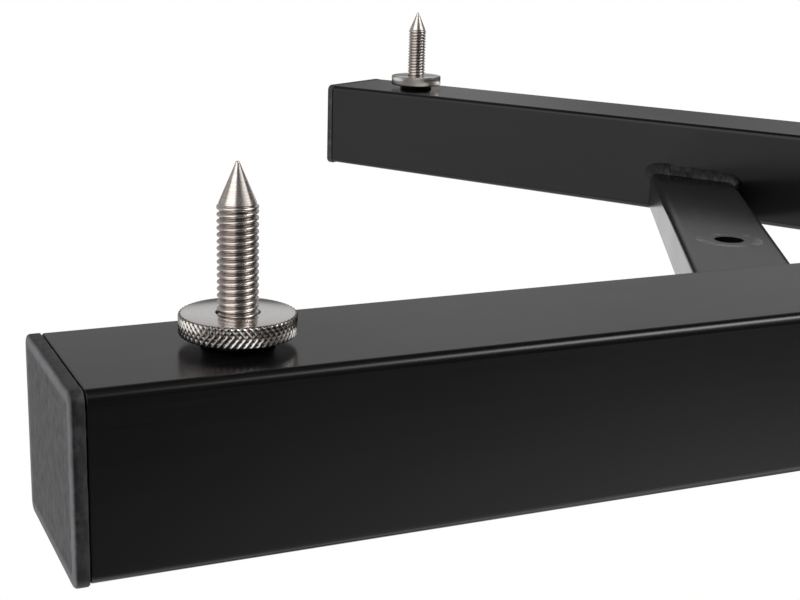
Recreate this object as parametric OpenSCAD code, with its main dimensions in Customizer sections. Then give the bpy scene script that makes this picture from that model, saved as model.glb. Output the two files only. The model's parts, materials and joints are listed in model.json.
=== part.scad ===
// Speaker stand: a V-shaped base of rectangular tube on three levelling spikes,
// a telescoping square column with a clamp knob, and a padded top plate.
// The origin is on the floor, under the middle of the stand's outline.
// +Z is up, the point of the V is towards +Y and the open side towards -Y.

/* [Base arms] */
// Outside width of the arm tube
tube_w = 38; // [34:1:46]
// Outside height of the arm tube
tube_h = 35; // [30:1:42]
// Wall of the arm tube
tube_wall = 2; // [1.5:0.1:2.5]
// Outside corner radius of the arm tube
tube_corner_r = 2; // [1.5:0.1:3.5]
// Length of an arm on its centre line, from the point of the V to the face of its end cap
arm_len = 437.5; // [410:0.5:520]
// Angle between an arm and the middle of the V
half_angle = 30; // [27:1:34]
// Radius of the ground nose where the arms meet
nose_r = 3; // [1:0.1:3.4]

/* [End caps] */
// Thickness of an end cap's visible flange
cap_t = 2.8; // [2.5:0.1:6]
// Distance by which the flange stands proud of the tube, on each side
cap_proud = 0.3; // [0:0.05:0.5]
// Edge rounding of an end cap's face
cap_edge_r = 1.2; // [0.5:0.1:2.4]
// Length of the plug inside the tube
plug_len = 18; // [12:1:30]
// Wall of the plug
plug_wall = 2; // [1.2:0.1:3]
// Clearance between the plug's body and the tube, on each side
plug_gap = 0.3; // [0.2:0.05:0.5]
// Height of the retaining ribs on the plug
plug_rib_h = 0.25; // [0.05:0.05:0.3]

/* [Crossbar] */
// Width of the flat crossbar tube, along the stand
bar_w = 30; // [26:1:40]
// Height of the crossbar tube
bar_h = 15; // [13:0.5:20]
// Wall of the crossbar tube
bar_wall = 1.5; // [1.2:0.1:2]
// Outside corner radius of the crossbar tube
bar_corner_r = 2.5; // [1:0.1:3]
// Distance of the crossbar's centre from the point of the V
bar_depth = 233.5; // [215:0.5:260]
// Radius of the drilled access hole in the crossbar's underside
access_r = 4.5; // [4.1:0.1:6]

/* [Levelling feet] */
// Distance from the underside of the base to the floor
spike_reach = 33.6; // [30:0.1:42]
// Whole length of a spike
spike_len = 54; // [48:0.5:60]
// Radius over the spike's thread
thread_r = 4; // [3.5:0.1:5]
// Length of the spike's cone
cone_len = 7.6; // [6:0.1:12]
// Radius of the blunt tip
tip_r = 0.4; // [0.3:0.05:0.8]
// Distance of an outer spike from the end cap's face, along the arm
spike_inset = 35.5; // [30:0.5:60]
// Running clearance on radius of everything that turns or runs on a shaft
run_gap = 0.08; // [0.02:0.01:0.1]
// Radius of the knurled lock disc
disc_r = 11; // [10:0.1:14]
// Thickness of the lock disc
disc_t = 4.05; // [3:0.05:5]
// Gap between the lock disc and the flange of its threaded insert
disc_gap = 0.35; // [0.3:0.05:0.6]
// Edge chamfer of the lock disc
disc_chamfer = 0.45; // [0.2:0.05:0.8]
// Countersink of the lock disc's hole
disc_sink = 0.5; // [0.2:0.05:1]
// Flange radius of a threaded insert
insert_flange_r = 7; // [6.6:0.1:8]
// Flange thickness of a threaded insert
insert_flange_t = 1.4; // [1:0.1:2]
// Barrel radius of a threaded insert
insert_r = 5.5; // [5.4:0.1:6.2]
// Barrel length of a threaded insert
insert_len = 15; // [10:0.5:18]

/* [Foot plate] */
// Width of the flat bar that carries the column
plate_w = 50; // [48:1:70]
// Thickness of the foot plate
plate_t = 6; // [4:0.5:8]
// Corner radius of the foot plate
plate_corner_r = 5; // [2:0.5:8]
// Distance from a bolt to the end of the plate
plate_margin = 13; // [12:0.5:18]
// Distance of each nose bolt from the middle of the V
nose_bolt_x = 14; // [12:0.5:15]
// Shaft radius of the plate bolts
bolt_r = 4; // [3.5:0.1:4.4]
// Length of the bolts under their heads
bolt_len = 16; // [14:0.5:17]
// Head radius of the bolts
bolt_head_r = 7; // [6.5:0.1:7.5]
// Head height of the bolts
bolt_head_h = 4.4; // [3.5:0.1:5]
// Key size of the bolts' hexagon sockets, across flats
bolt_key = 5; // [4:0.5:6]
// Radius of the washers
washer_r = 8; // [7.6:0.1:9]
// Thickness of the washers
washer_t = 1.6; // [1:0.1:2]
// Barrel radius of the rivet nuts
rivet_r = 5.5; // [5.3:0.1:6]
// Length of the rivet nuts
rivet_len = 10; // [8:0.5:10.5]

/* [Column] */
// Outside width of the fixed column tube
column_w = 40; // [38:1:46]
// Wall of both column tubes
column_wall = 2; // [1.5:0.1:2.5]
// Outside corner radius of the fixed column tube
column_corner_r = 3; // [2:0.1:4]
// Length of the fixed column tube
column_len = 560; // [500:5:700]
// Distance of the column's axis from the crossbar's centre
column_to_bar = 61; // [50:1:80]
// Outside width of the sliding tube
inner_w = 30; // [28:0.5:31]
// Outside corner radius of the sliding tube
inner_corner_r = 2.5; // [1.5:0.1:3]
// Length of the sliding tube
inner_len = 540; // [460:5:560]
// Length of the sliding tube that stands out of the column at its lowest
neck_len = 30; // [20:1:60]
// Clearance between the sliding tube and what guides it, on each side
slide_gap = 0.35; // [0.3:0.05:0.5]
// Height of the plug that guides the sliding tube's foot
glide_h = 14; // [10:1:25]
// Depth of the guide plug inside the sliding tube
glide_stub = 16; // [10:1:25]

/* [Clamp] */
// Length of the guide bush inside the column
bush_len = 62; // [55:1:90]
// Thickness of the bush's flange on the end of the column
bush_flange_t = 3; // [2:0.5:5]
// Outside width of the moulded clamp collar
collar_w = 52; // [50:1:60]
// Height of the clamp collar
collar_h = 60; // [50:1:70]
// Corner radius of the clamp collar
collar_corner_r = 6; // [4:0.5:8]
// Thickness of the collar's top lip
collar_lip = 3; // [2:0.5:5]
// Distance from the top of the collar to the clamp screw
clamp_drop = 33; // [28:0.5:36]
// Radius of the collar's boss
boss_r = 13; // [12:0.5:15]
// Length of the collar's boss
boss_len = 9; // [6:0.5:14]
// Width of the clamp nut across flats
nut_af = 13; // [12:0.5:15]
// Thickness of the clamp nut
nut_t = 6.5; // [5:0.5:8]
// Radius of the brass clamp pad
pad_r = 5; // [4:0.1:5.5]
// Thickness of the brass clamp pad
pad_t = 2.2; // [1.6:0.1:2.6]
// Overall radius of the knob
knob_r = 24; // [20:0.5:30]
// Thickness of the knob's star
knob_t = 15; // [12:0.5:20]
// Radius of each lobe of the star
lobe_r = 7; // [5:0.1:8]
// Number of lobes on the knob
lobes = 5; // [3:1:8]
// Radius of the knob's hub
hub_r = 10; // [8:0.5:12]
// Length of the knob's hub
hub_len = 9; // [6:0.5:14]
// Gap between the knob's hub and the collar's boss when the clamp is tight
knob_gap = 4; // [2:0.5:8]

/* [Top plate] */
// Width of the top plate
top_w = 220; // [180:5:300]
// Length of the top plate
top_l = 250; // [220:5:320]
// Thickness of the top plate
top_t = 5; // [4:0.5:8]
// Corner radius of the top plate
top_corner_r = 14; // [5:1:20]
// Distance by which the top plate is set towards the open side of the V
top_setback = 30; // [10:1:35]
// Width of the flange under the top plate
flange_w = 92; // [84:1:100]
// Thickness of the flange
flange_t = 6; // [5:0.5:8]
// Corner radius of the flange
flange_corner_r = 8; // [4:0.5:12]
// Spacing of the flange screws, both ways
screw_pitch = 66; // [62:1:70]
// Shaft radius of the flange screws
screw_r = 3; // [2.5:0.1:3.5]
// Head radius of the countersunk flange screws
screw_head_r = 6; // [5:0.1:6.5]
// Head height of the flange screws
screw_head_h = 3.2; // [2.5:0.1:3.6]
// Length of the flange screws
screw_len = 20; // [18:0.5:24]
// Width across flats of the flange nuts
screw_nut_af = 10; // [9:0.5:11]
// Thickness of the flange nuts
screw_nut_t = 5; // [4:0.5:6]
// Spacing of the speaker slots across the plate
slot_pitch_x = 120; // [110:5:130]
// Spacing of the speaker slots along the plate
slot_pitch_y = 180; // [170:5:190]
// Radius of the slots' round ends
slot_r = 3.3; // [2.5:0.1:4.5]
// End-to-end length of a speaker slot
slot_len = 36; // [20:1:44]
// Radius of a rubber pad
rubber_r = 11; // [8:0.5:14]
// Thickness of a rubber pad
rubber_t = 3; // [2:0.5:6]
// Distance of a rubber pad's centre from the edges of the plate
rubber_inset = 20; // [16:1:30]

/* [Hidden] */
$fn = 64;

// Colours of the finishes
coat = "#232324";
moulded = "#3a393b";
steel = "#b5b1ad";
zinc = "#8f9091";
brass = "#b39352";
black_rubber = "#1a1a1a";

// Overrun of every cut past the faces that it opens
over = 1;
// Share of a tube's outside corner radius that its inside corner has
inside_corner_share = 0.4;
// Small edge chamfer of turned and moulded pieces
edge = 0.6;

// Plan of the base, measured from the point where the arms' centre lines meet
nose_reach = (tube_w / 2 - nose_r) / sin(half_angle) + nose_r;
cap_w = tube_w + 2 * cap_proud;
cap_h = tube_h + 2 * cap_proud;
end_reach = arm_len * cos(half_angle) + cap_w / 2 * sin(half_angle)
    - cap_edge_r * (cos(half_angle) + sin(half_angle) - 1);
point_y = (end_reach - nose_reach) / 2;
arm_tube_len = arm_len - cap_t;
crotch_y = point_y - tube_w / 2 / sin(half_angle);
bar_y = point_y - bar_depth;
column_y = bar_y + column_to_bar;
// Depth at which the nose bolts stand over the arms' centre lines
nose_bolt_y = point_y - nose_bolt_x / tan(half_angle);

// Heights
under_z = spike_reach;
disc_z = under_z - insert_flange_t - disc_gap - disc_t;
arm_z = under_z + tube_h / 2;
plate_z = under_z + tube_h;
column_z = plate_z + plate_t;
column_top = column_z + column_len;
collar_top = column_top + bush_flange_t + collar_lip;
collar_z = collar_top - collar_h;
clamp_z = collar_top - clamp_drop;
flange_z = collar_top + neck_len;
top_z = flange_z + flange_t;
rubber_z = top_z + top_t;

// Widths inside the column
column_in = column_w - 2 * column_wall;
inner_in = inner_w - 2 * column_wall;
bush_in = inner_w + 2 * slide_gap;
bush_gap = 0.05;
glide_w = column_in - 2 * slide_gap;
collar_fit = 0.1;
collar_in = column_w + 2 * collar_fit;

// Places of the three feet: left, right and nose
outer_foot = arm_len - spike_inset;
foot_places = [
    [-outer_foot * sin(half_angle), point_y - outer_foot * cos(half_angle)],
    [outer_foot * sin(half_angle), point_y - outer_foot * cos(half_angle)],
    [0, point_y]];
bolt_places = [[-nose_bolt_x, nose_bolt_y], [nose_bolt_x, nose_bolt_y], [0, bar_y]];
top_y = column_y - top_setback;

// Clamp screw, measured outwards from the column's axis
pad_y = inner_w / 2 + slide_gap;
stud_y = pad_y + pad_t;
nut_y = collar_in / 2;
boss_y = collar_w / 2;
hub_y = boss_y + boss_len + knob_gap;
star_y = hub_y + hub_len;
stud_len = star_y + knob_t / 2 - stud_y;
peg_r = thread_r / 2;
peg_len = pad_t / 2;
// Window in the bush and in the column's wall, through which the pad moves
window_r = pad_r + slide_gap;

// Places of the flange screws, the speaker slots and the rubber pads
screw_places = [for (sx = [-1, 1], sy = [-1, 1]) [sx * screw_pitch / 2, column_y + sy * screw_pitch / 2]];
slot_places = [for (sx = [-1, 1], sy = [-1, 1]) [sx * slot_pitch_x / 2, top_y + sy * slot_pitch_y / 2]];
rubber_places = [for (sx = [-1, 1], sy = [-1, 1])
    [sx * (top_w / 2 - rubber_inset), top_y + sy * (top_l / 2 - rubber_inset)]];

// A rectangle with round corners, centred
module rounded(w, d, r) {
    square([w - 2 * r, d], center = true);
    square([w, d - 2 * r], center = true);
    for (sx = [-1, 1], sy = [-1, 1])
        translate([sx * (w / 2 - r), sy * (d / 2 - r)]) circle(r);
}

// The wall of a rectangular tube in section
module tube_section(w, d, wall, r) {
    difference() {
        rounded(w, d, r);
        rounded(w - 2 * wall, d - 2 * wall, r * inside_corner_share);
    }
}

// Lays what is drawn upright along +X, with its own Y up
module lay_along_x() {
    rotate([90, 0, 90]) children();
}

// Puts the point of the V at the origin and an arm's centre line on +X; side is -1 left or 1 right
module on_arm(side) {
    translate([0, point_y, arm_z]) rotate([0, 0, side * half_angle - 90]) children();
}

module at_each(places, z) {
    for (p = places) translate([p[0], p[1], z]) children();
}

// Everything on one side of the middle of the V
module half_space(side) {
    translate([side * arm_len / 2, 0, arm_z]) cube([arm_len, 2 * arm_len, 2 * tube_h], center = true);
}

// What is ground off the sharp nose
module nose_waste() {
    nose_centre = (tube_w / 2 - nose_r) / sin(half_angle);
    translate([0, point_y + nose_centre, under_z - over]) difference() {
        translate([-tube_w / 2, nose_r * sin(half_angle), 0]) cube([tube_w, tube_w, tube_h + 2 * over]);
        translate([0, 0, -over]) cylinder(r = nose_r, h = tube_h + 4 * over);
    }
}

module arm(side) {
    color(coat) difference() {
        intersection() {
            on_arm(side) translate([-tube_w, 0, 0]) lay_along_x() linear_extrude(arm_tube_len + tube_w)
                tube_section(tube_w, tube_h, tube_wall, tube_corner_r);
            half_space(side);
        }
        nose_waste();
        at_each(foot_places, under_z - over) cylinder(r = insert_r, h = tube_wall + 2 * over);
        at_each(bolt_places, plate_z - tube_wall - over) cylinder(r = rivet_r, h = tube_wall + 2 * over);
    }
}

// The triangle between the arms' inner faces
module between_arms() {
    spread = arm_len * tan(half_angle);
    translate([0, crotch_y, under_z]) linear_extrude(2 * tube_h)
        polygon([[0, 0], [spread, -arm_len], [-spread, -arm_len]]);
}

module crossbar() {
    bar_z = plate_z - bar_h;
    color(coat) difference() {
        intersection() {
            translate([-arm_len / 2, bar_y, bar_z + bar_h / 2]) lay_along_x() linear_extrude(arm_len)
                tube_section(bar_w, bar_h, bar_wall, bar_corner_r);
            between_arms();
        }
        translate([0, bar_y, bar_z - over]) cylinder(r = access_r, h = bar_wall + 2 * over);
        translate([0, bar_y, plate_z - bar_wall - over]) cylinder(r = rivet_r, h = bar_wall + 2 * over);
    }
}

// Outline of an end cap's flange across its size w, with its two outer edges rounded
module cap_profile(w) {
    square([cap_t - cap_edge_r, w]);
    translate([0, cap_edge_r]) square([cap_t, w - 2 * cap_edge_r]);
    for (y = [cap_edge_r, w - cap_edge_r]) translate([cap_t - cap_edge_r, y]) circle(cap_edge_r);
}

// A push-in cap: a rounded flange over the tube's end and a ribbed hollow plug inside it
module end_cap(side) {
    plug_w = tube_w - 2 * (tube_wall + plug_gap);
    plug_h = tube_h - 2 * (tube_wall + plug_gap);
    corner = tube_corner_r * inside_corner_share;
    rib_t = plug_wall / 2;
    rib_count = 3;
    color(moulded) on_arm(side) translate([arm_tube_len, 0, 0]) {
        intersection() {
            lay_along_x() linear_extrude(cap_t) rounded(cap_w, cap_h, tube_corner_r + cap_proud);
            translate([0, -cap_w / 2, -cap_h / 2]) linear_extrude(cap_h) cap_profile(cap_w);
            translate([0, cap_w / 2, -cap_h / 2]) rotate([90, 0, 0]) linear_extrude(cap_w) cap_profile(cap_h);
        }
        translate([-plug_len, 0, 0]) lay_along_x() linear_extrude(plug_len)
            tube_section(plug_w, plug_h, plug_wall, corner);
        for (i = [1 : rib_count]) translate([-i * plug_len / (rib_count + 1), 0, 0]) lay_along_x()
            linear_extrude(rib_t)
                tube_section(plug_w + 2 * plug_rib_h, plug_h + 2 * plug_rib_h, plug_wall, corner);
    }
}

// A flanged insert, pressed into the underside of an arm
module threaded_insert(i) {
    bore_r = thread_r + run_gap;
    color(zinc) translate([foot_places[i][0], foot_places[i][1], under_z]) rotate_extrude()
        polygon([[bore_r, -insert_flange_t], [insert_flange_r - edge, -insert_flange_t],
            [insert_flange_r, edge - insert_flange_t], [insert_flange_r, 0], [insert_r, 0],
            [insert_r, insert_len - edge], [insert_r - edge, insert_len], [bore_r, insert_len]]);
}

// A turned spike: blunt cone below, threaded shank above
module spike(i) {
    color(steel) translate([foot_places[i][0], foot_places[i][1], 0]) rotate_extrude()
        polygon([[0, 0], [tip_r, 0], [thread_r - tip_r, cone_len], [thread_r, cone_len + tip_r],
            [thread_r, spike_len - edge], [thread_r - edge, spike_len], [0, spike_len]]);
}

// The knurled disc that locks a spike against its insert
module lock_disc(i) {
    bore_r = thread_r + run_gap;
    color(steel) translate([foot_places[i][0], foot_places[i][1], disc_z]) rotate_extrude()
        polygon([[bore_r + disc_sink, 0], [disc_r - disc_chamfer, 0], [disc_r, disc_chamfer],
            [disc_r, disc_t - disc_chamfer], [disc_r - disc_chamfer, disc_t], [bore_r, disc_t],
            [bore_r, disc_sink]]);
}

// The flat bar that ties the nose to the crossbar and carries the column
module foot_plate() {
    front_y = nose_bolt_y + plate_margin;
    back_y = bar_y - plate_margin;
    color(coat) translate([0, 0, plate_z]) difference() {
        translate([0, (front_y + back_y) / 2, 0]) linear_extrude(plate_t)
            rounded(plate_w, front_y - back_y, plate_corner_r);
        at_each(bolt_places, -over) cylinder(r = access_r, h = plate_t + 2 * over);
    }
}

module plate_washers() {
    color(zinc) at_each(bolt_places, column_z) difference() {
        cylinder(r = washer_r, h = washer_t);
        translate([0, 0, -over]) cylinder(r = access_r, h = washer_t + 2 * over);
    }
}

// Button-head bolts with hexagon sockets
module plate_bolts() {
    crown_share = 0.62;
    socket_share = 0.6;
    socket_r = bolt_key / 2 / cos(30);
    color(zinc) at_each(bolt_places, column_z + washer_t) difference() {
        rotate_extrude() polygon([[0, -bolt_len], [bolt_r - edge, -bolt_len], [bolt_r, edge - bolt_len],
            [bolt_r, 0], [bolt_head_r, 0], [bolt_head_r, edge],
            [bolt_head_r * (1 + crown_share) / 2, bolt_head_h - edge], [bolt_head_r * crown_share, bolt_head_h],
            [0, bolt_head_h]]);
        translate([0, 0, bolt_head_h * (1 - socket_share)]) cylinder(r = socket_r, h = bolt_head_h, $fn = 6);
    }
}

// Blind rivet nuts, flush with the tops of the arms and the crossbar
module rivet_nuts() {
    color(zinc) at_each(bolt_places, plate_z - rivet_len) difference() {
        cylinder(r = rivet_r, h = rivet_len);
        translate([0, 0, -over]) cylinder(r = bolt_r + run_gap, h = rivet_len + 2 * over);
    }
}

// Lays a cylinder along +Y at the height of the clamp screw; y is measured from the column's axis
module along_clamp(y, r, h) {
    translate([0, column_y + y, clamp_z]) rotate([-90, 0, 0]) cylinder(r = r, h = h);
}

module column_tube() {
    color(coat) difference() {
        translate([0, column_y, column_z]) linear_extrude(column_len)
            tube_section(column_w, column_w, column_wall, column_corner_r);
        along_clamp(column_in / 2 - over, window_r, column_wall + 2 * over);
    }
}

// The moulded sleeve that guides the sliding tube in the column's mouth
module guide_bush() {
    bush_w = column_in - 2 * bush_gap;
    corner = column_corner_r * inside_corner_share;
    color(moulded) difference() {
        translate([0, column_y, column_top]) {
            translate([0, 0, -bush_len]) linear_extrude(bush_len + bush_flange_t) rounded(bush_w, bush_w, corner);
            linear_extrude(bush_flange_t) rounded(column_w, column_w, column_corner_r);
        }
        translate([0, column_y, column_top - bush_len - over])
            linear_extrude(bush_len + bush_flange_t + 2 * over) rounded(bush_in, bush_in, inner_corner_r);
        along_clamp(inner_w / 2, window_r, column_w);
    }
}

// The moulded collar over the column's mouth, with the boss of the clamp screw
module clamp_collar() {
    lip_w = bush_in + 2 * slide_gap;
    nut_r = nut_af / 2 / cos(30) + collar_fit;
    recess_w_share = 0.6;
    recess_h_share = 0.72;
    color(moulded) difference() {
        union() {
            translate([0, column_y, collar_z]) linear_extrude(collar_h)
                rounded(collar_w, collar_w, collar_corner_r);
            along_clamp(0, boss_r, boss_y + boss_len - edge);
            along_clamp(0, boss_r - edge, boss_y + boss_len);
        }
        translate([0, column_y, collar_z - over]) linear_extrude(collar_h - collar_lip + over)
            rounded(collar_in, collar_in, column_corner_r + collar_fit);
        translate([0, column_y, collar_z]) linear_extrude(collar_h + over) rounded(lip_w, lip_w, inner_corner_r);
        along_clamp(0, thread_r + run_gap + slide_gap, boss_y + boss_len + over);
        translate([0, column_y, clamp_z]) rotate([-90, 0, 0])
            cylinder(r = nut_r, h = nut_y + nut_t + collar_fit, $fn = 6);
        for (turn = [0, 90, 180]) translate([0, column_y, collar_z + collar_h / 2]) rotate([0, 0, -turn])
            translate([collar_w / 2, 0, 0])
                cube([2 * edge, collar_w * recess_w_share, collar_h * recess_h_share], center = true);
    }
}

// The hexagon nut held between the collar's boss and the column
module clamp_nut() {
    color(zinc) difference() {
        translate([0, column_y + nut_y, clamp_z]) rotate([-90, 0, 0])
            cylinder(r = nut_af / 2 / cos(30), h = nut_t, $fn = 6);
        along_clamp(nut_y - over, thread_r + run_gap, nut_t + 2 * over);
    }
}

// The brass pad that presses on the sliding tube
module clamp_pad() {
    color(brass) difference() {
        along_clamp(pad_y, pad_r, pad_t);
        along_clamp(stud_y - peg_len, peg_r + run_gap, peg_len + over);
    }
}

// The clamp screw: a threaded stud that swivels in the pad on its peg
module clamp_stud() {
    color(zinc) {
        along_clamp(stud_y + slide_gap, thread_r, stud_len - slide_gap);
        along_clamp(stud_y + slide_gap - peg_len, peg_r, peg_len + over);
    }
}

// Outline of the knob's star
module star(r) {
    rim = r - lobe_r;
    circle(rim);
    for (i = [0 : lobes - 1]) rotate([0, 0, i * 360 / lobes]) translate([0, rim]) circle(lobe_r);
}

// The lobed hand knob, moulded on its stud
module clamp_knob() {
    color(moulded) difference() {
        union() {
            along_clamp(hub_y, hub_r, hub_len + over);
            translate([0, column_y + star_y, clamp_z]) rotate([-90, 0, 0]) {
                translate([0, 0, edge]) linear_extrude(knob_t - 2 * edge) star(knob_r);
                linear_extrude(knob_t) star(knob_r - edge);
            }
        }
        along_clamp(hub_y - over, thread_r, star_y + knob_t / 2 - hub_y + over);
    }
}

module sliding_tube() {
    color(coat) translate([0, column_y, flange_z - inner_len]) linear_extrude(inner_len)
        tube_section(inner_w, inner_w, column_wall, inner_corner_r);
}

// The moulded plug in the sliding tube's lower end, which runs on the column's inner walls
module tube_glide() {
    stub_w = inner_in - 2 * bush_gap;
    stub_wall = plug_wall;
    corner = column_corner_r * inside_corner_share;
    color(moulded) translate([0, column_y, flange_z - inner_len]) {
        translate([0, 0, -glide_h]) linear_extrude(glide_h)
            tube_section(glide_w, glide_w, (glide_w - inner_in) / 2 + stub_wall, corner + edge);
        linear_extrude(glide_stub) tube_section(stub_w, stub_w, stub_wall, corner);
    }
}

// The plate welded on the sliding tube's upper end
module head_flange() {
    color(coat) difference() {
        translate([0, column_y, flange_z]) linear_extrude(flange_t) rounded(flange_w, flange_w, flange_corner_r);
        at_each(screw_places, flange_z - over) cylinder(r = screw_r + bush_gap, h = flange_t + 2 * over);
    }
}

// The plate that the speaker stands on
module top_plate() {
    color(coat) difference() {
        translate([0, top_y, top_z]) linear_extrude(top_t) rounded(top_w, top_l, top_corner_r);
        at_each(screw_places, top_z - over) cylinder(r = screw_r + bush_gap, h = top_t + 2 * over);
        at_each(screw_places, rubber_z - screw_head_h)
            cylinder(r1 = screw_r + bush_gap, r2 = screw_head_r + bush_gap, h = screw_head_h);
        at_each(slot_places, top_z - over) for (sx = [-1, 1])
            translate([sx * (slot_len / 2 - slot_r), 0, 0]) cylinder(r = slot_r, h = top_t + 2 * over);
        at_each(slot_places, top_z + top_t / 2)
            cube([slot_len - 2 * slot_r, 2 * slot_r, top_t + 2 * over], center = true);
    }
}

// Countersunk screws with hexagon sockets, heads flush with the top plate
module flange_screws() {
    key_r = screw_r * 2 / 3;
    color(zinc) at_each(screw_places, rubber_z) difference() {
        union() {
            translate([0, 0, -screw_len]) cylinder(r = screw_r, h = screw_len - edge);
            translate([0, 0, -screw_head_h]) cylinder(r1 = screw_r, r2 = screw_head_r, h = screw_head_h);
        }
        translate([0, 0, -screw_head_h / 2]) cylinder(r = key_r, h = screw_head_h, $fn = 6);
    }
}

module flange_nuts() {
    color(zinc) at_each(screw_places, flange_z - screw_nut_t) difference() {
        cylinder(r = screw_nut_af / 2 / cos(30), h = screw_nut_t, $fn = 6);
        translate([0, 0, -over]) cylinder(r = screw_r + bush_gap, h = screw_nut_t + 2 * over);
    }
}

// A rubber foot under the speaker, with a chamfered rim
module rubber_pad(i) {
    color(black_rubber) translate([rubber_places[i][0], rubber_places[i][1], rubber_z]) rotate_extrude()
        polygon([[0, 0], [rubber_r, 0], [rubber_r, rubber_t - edge], [rubber_r - edge, rubber_t], [0, rubber_t]]);
}

arm(-1);  // arm_left
arm(1);  // arm_right
crossbar();
end_cap(-1);  // end_cap_left
end_cap(1);  // end_cap_right
threaded_insert(0);  // insert_left
threaded_insert(1);  // insert_right
threaded_insert(2);  // insert_nose
spike(0);  // spike_left
spike(1);  // spike_right
spike(2);  // spike_nose
lock_disc(0);  // lock_disc_left
lock_disc(1);  // lock_disc_right
lock_disc(2);  // lock_disc_nose
foot_plate();
plate_bolts();
plate_washers();
rivet_nuts();
column_tube();
guide_bush();
clamp_collar();
clamp_nut();
clamp_pad();
clamp_stud();
clamp_knob();
sliding_tube();
tube_glide();
head_flange();
top_plate();
flange_screws();
flange_nuts();
rubber_pad(0);  // rubber_pad_1
rubber_pad(1);  // rubber_pad_2
rubber_pad(2);  // rubber_pad_3
rubber_pad(3);  // rubber_pad_4
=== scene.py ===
import json
import math

import bmesh
import bpy
from mathutils import Matrix, Vector, noise


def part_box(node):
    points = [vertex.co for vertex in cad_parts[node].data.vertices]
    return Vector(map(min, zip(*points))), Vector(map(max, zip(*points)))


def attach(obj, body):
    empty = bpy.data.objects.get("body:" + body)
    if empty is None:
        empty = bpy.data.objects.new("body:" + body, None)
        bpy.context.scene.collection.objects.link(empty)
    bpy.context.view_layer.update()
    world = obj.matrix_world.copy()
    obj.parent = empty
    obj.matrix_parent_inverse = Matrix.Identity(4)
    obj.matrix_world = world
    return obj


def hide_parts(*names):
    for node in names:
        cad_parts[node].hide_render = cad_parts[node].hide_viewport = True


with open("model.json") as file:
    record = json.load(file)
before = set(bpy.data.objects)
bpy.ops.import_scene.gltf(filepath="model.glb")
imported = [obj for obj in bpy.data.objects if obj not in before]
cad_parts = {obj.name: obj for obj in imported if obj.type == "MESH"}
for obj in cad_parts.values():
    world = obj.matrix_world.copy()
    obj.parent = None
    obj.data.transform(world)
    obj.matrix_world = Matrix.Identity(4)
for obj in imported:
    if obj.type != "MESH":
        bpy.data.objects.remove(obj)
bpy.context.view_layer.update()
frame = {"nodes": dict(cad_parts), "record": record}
print("frame loaded")

mm = 0.001


# camera, at the angle of the photograph: under the base, looking up, with the picture turned over

photoView = {
    "x": -450.36, "y": -120.87, "z": -43.38,  # mm from the stand's origin
    "tiltUp": 15.136, "turn": -7.433, "roll": 0.979,  # degrees
    "focal": 64.878, "sensor": 36,  # mm
    "shiftAcross": 0.079,  # the stand lies to one side of the lens axis
    "clipStart": 0.01, "clipEnd": 60,  # metres
}


def makeCamera():
    tilt, turn, roll = (math.radians(photoView[k]) for k in ("tiltUp", "turn", "roll"))
    forward = Vector((math.cos(turn) * math.cos(tilt), math.sin(turn) * math.cos(tilt), math.sin(tilt)))
    side = Vector((-math.sin(turn), math.cos(turn), 0))
    over = forward.cross(side) * -1
    across = side * math.cos(roll) + over * math.sin(roll)
    up = over * math.cos(roll) - side * math.sin(roll)
    data = bpy.data.cameras.new("photoCamera")
    data.sensor_width = photoView["sensor"]
    data.lens = photoView["focal"]
    data.shift_x = photoView["shiftAcross"]
    data.clip_start = photoView["clipStart"]
    data.clip_end = photoView["clipEnd"]
    camera = bpy.data.objects.new("photoCamera", data)
    rows = Matrix((across, up, -forward)).transposed().to_4x4()
    rows.translation = Vector((photoView["x"], photoView["y"], photoView["z"])) * mm
    camera.matrix_world = rows
    bpy.context.scene.collection.objects.link(camera)
    bpy.context.scene.camera = camera


makeCamera()
print("camera set")


# colours and shader nodes


def linear(hexCode):  # sRGB hex to the linear colour that a socket takes
    parts = [int(hexCode[i:i + 2], 16) / 255 for i in (1, 3, 5)]
    return [c / 12.92 if c <= 0.04045 else ((c + 0.055) / 1.055) ** 2.4 for c in parts] + [1.0]


def perMetre(sizeMm):  # texture scale that gives a pattern of this real size
    return 1 / (sizeMm * mm)


# settings hold sockets or properties; links lead from a socket to a (node, output) pair
def addNode(tree, kind, settings=None, links=None):
    node = tree.nodes.new(kind)
    for key, value in (settings or {}).items():
        if isinstance(key, int) or key in node.inputs:
            node.inputs[key].default_value = value
        else:
            setattr(node, key, value)
    for key, (source, output) in (links or {}).items():
        tree.links.new(source.outputs[output], node.inputs[key])
    return node


def mathNode(tree, operation, *terms):  # each term is a number or a (node, output) pair
    numbers = {i: term for i, term in enumerate(terms) if not isinstance(term, tuple)}
    pairs = {i: term for i, term in enumerate(terms) if isinstance(term, tuple)}
    return addNode(tree, "ShaderNodeMath", {"operation": operation, **numbers}, pairs)


def newMaterial(name, settings):
    made = bpy.data.materials.new(name)
    made.use_nodes = True
    tree = made.node_tree
    tree.nodes.clear()
    surface = addNode(tree, "ShaderNodeBsdfPrincipled", settings)
    addNode(tree, "ShaderNodeOutputMaterial", {}, {"Surface": (surface, "BSDF")})
    place = addNode(tree, "ShaderNodeTexCoord")
    return made, tree, surface, place


def speckle(tree, place, sizeMm, detail, roughness=0.5):  # noise of the same real size all ways
    return addNode(tree, "ShaderNodeTexNoise",
                   {"Scale": perMetre(sizeMm), "Detail": detail, "Roughness": roughness},
                   {"Vector": (place, "Object")})


def streaks(tree, source, sizesMm, detail, roughness=0.5):  # noise with a real size along each axis
    stretched = addNode(tree, "ShaderNodeMapping", {"Scale": [perMetre(size) for size in sizesMm]},
                        {"Vector": source})
    return addNode(tree, "ShaderNodeTexNoise", {"Scale": 1.0, "Detail": detail, "Roughness": roughness},
                   {"Vector": (stretched, "Vector")})


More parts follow.
